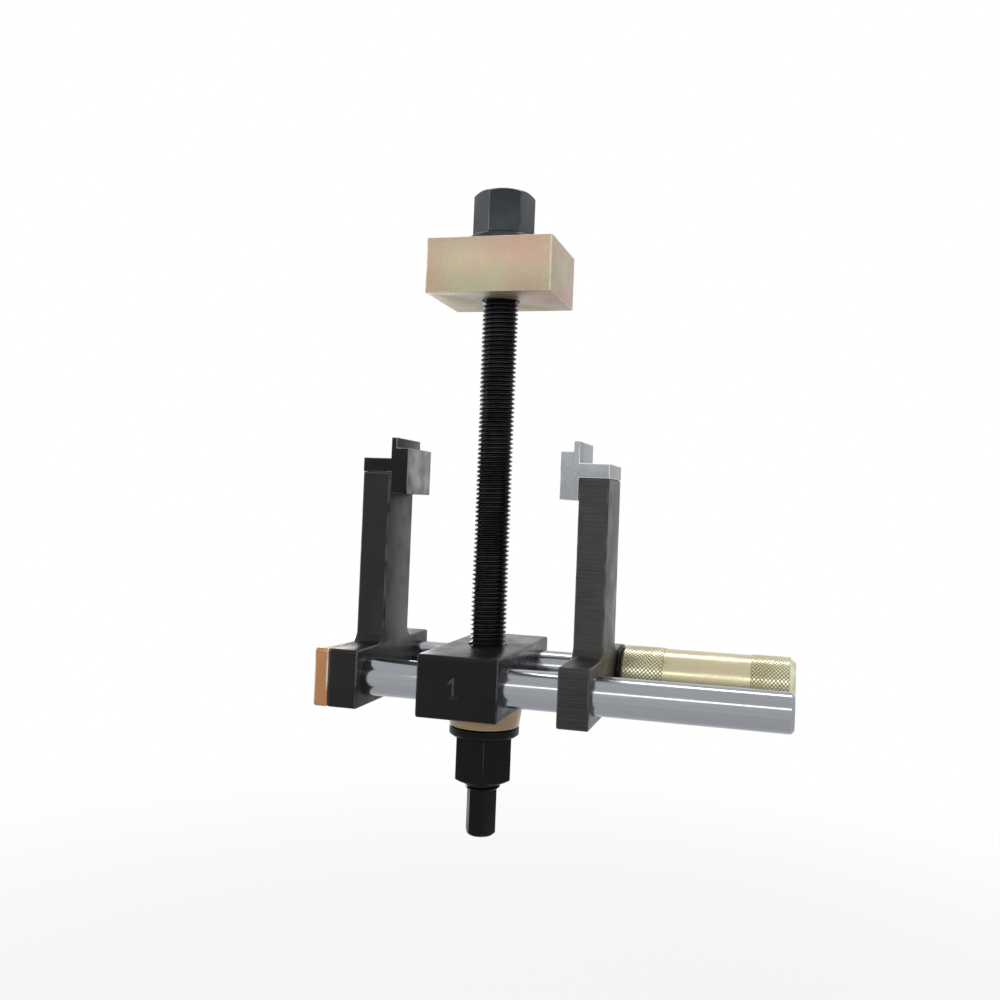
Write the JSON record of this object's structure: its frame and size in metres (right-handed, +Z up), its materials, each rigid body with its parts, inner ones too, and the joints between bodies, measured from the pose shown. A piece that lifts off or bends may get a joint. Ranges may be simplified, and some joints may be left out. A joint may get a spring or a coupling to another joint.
{
  "type": "ball joint separator",
  "caption": "Screw-operated ball joint separator: clawed legs on guide bars straddle a joint housing while a spindle draws a pressure plate down onto it.",
  "frame": {"origin": "on the spindle's axis, level with the seats of the two claws, where the workpiece's rim rests", "axes": "+X along the guide bars towards the knurled sleeve, +Y from the front bar to the rear bar, +Z up the spindle towards the pressure plate"},
  "size_m": [0.196, 0.085, 0.2853],
  "materials": {
    "black_oxide": "black oxide, satin, machined",
    "black_steel": "blackened steel, fine satin",
    "ground_steel": "dark ground steel with fine cross lines",
    "chrome_bar": "hard chrome, ground and polished",
    "bright_steel": "ground bearing steel",
    "satin_nickel": "matte silver plating with bright edges",
    "yellow_zinc": "yellow passivated zinc, slightly iridescent",
    "bronze_zinc": "deep yellow passivated zinc",
    "brass_cage": "plain brass"
  },
  "bodies": {
    "root": {"left_leg": "black_steel", "left_claw": "black_steel", "left_claw_screw_front": "black_oxide", "left_claw_screw_rear": "black_oxide", "left_end_plate": "bronze_zinc", "end_plate_screw_front": "black_oxide", "end_plate_screw_rear": "black_oxide", "front_guide_bar": "chrome_bar", "rear_guide_bar": "chrome_bar"},
    "crosshead": {"crosshead": "black_steel", "bearing_cup": "bronze_zinc", "upper_race": "bright_steel"},
    "lower_nut": {"lower_nut": "black_oxide", "lower_race": "bright_steel"},
    "bearing_cage": {"ball_cage": "brass_cage", "bearing_ball_01": "bright_steel", "bearing_ball_02": "bright_steel", "bearing_ball_03": "bright_steel", "bearing_ball_04": "bright_steel", "bearing_ball_05": "bright_steel", "bearing_ball_06": "bright_steel", "bearing_ball_07": "bright_steel", "bearing_ball_08": "bright_steel", "bearing_ball_09": "bright_steel", "bearing_ball_10": "bright_steel", "bearing_ball_11": "bright_steel", "bearing_ball_12": "bright_steel"},
    "spindle": {"spindle": "black_oxide"},
    "pressure_plate": {"pressure_plate": "yellow_zinc"},
    "upper_nut": {"upper_nut": "black_oxide"},
    "sleeve_washer": {"sleeve_washer": "black_oxide"},
    "knurled_sleeve": {"knurled_sleeve": "yellow_zinc"},
    "right_leg": {"right_leg": "ground_steel", "right_claw": "satin_nickel", "right_claw_screw_front": "black_oxide", "right_claw_screw_rear": "black_oxide"}
  },
  "joints": [
    {"name": "crosshead_slide", "type": "slide", "parent": "root", "child": "crosshead", "axis": [1, 0, 0], "range_m": [-0.012, 0.008]},
    {"name": "lower_nut_spin", "type": "hinge", "parent": "crosshead", "child": "lower_nut", "pos_m": [0, 0, -0.135], "axis": [0, 0, 1], "range_deg": [-720, 7200]},
    {"name": "bearing_cage_spin", "type": "hinge", "parent": "crosshead", "child": "bearing_cage", "pos_m": [0, 0, -0.118], "axis": [0, 0, 1], "range_deg": [-360, 3600]},
    {"name": "spindle_travel", "type": "slide", "parent": "crosshead", "child": "spindle", "axis": [0, 0, 1], "range_m": [-0.04, 0.004]},
    {"name": "plate_travel", "type": "slide", "parent": "spindle", "child": "pressure_plate", "axis": [0, 0, 1], "range_m": [-0.02, 0]},
    {"name": "upper_nut_spin", "type": "hinge", "parent": "pressure_plate", "child": "upper_nut", "pos_m": [0, 0, 0.104], "axis": [0, 0, 1], "range_deg": [-3600, 0]},
    {"name": "sleeve_travel", "type": "slide", "parent": "root", "child": "sleeve_washer", "axis": [1, 0, 0], "range_m": [-0.006, 0.012]},
    {"name": "sleeve_spin", "type": "hinge", "parent": "sleeve_washer", "child": "knurled_sleeve", "pos_m": [0.095, 0.0295, -0.099], "axis": [1, 0, 0], "range_deg": [-1080, 2160]},
    {"name": "right_leg_slide", "type": "slide", "parent": "sleeve_washer", "child": "right_leg", "axis": [1, 0, 0], "range_m": [-0.0095, 0]}
  ],
  "couplings": [
    {"joint": "lower_nut_spin", "follows": "spindle_travel", "rad_per_m": -3141.6},
    {"joint": "bearing_cage_spin", "follows": "spindle_travel", "rad_per_m": -1570.8},
    {"joint": "upper_nut_spin", "follows": "plate_travel", "rad_per_m": 3141.6},
    {"joint": "sleeve_spin", "follows": "sleeve_travel", "rad_per_m": 3141.6}
  ]
}
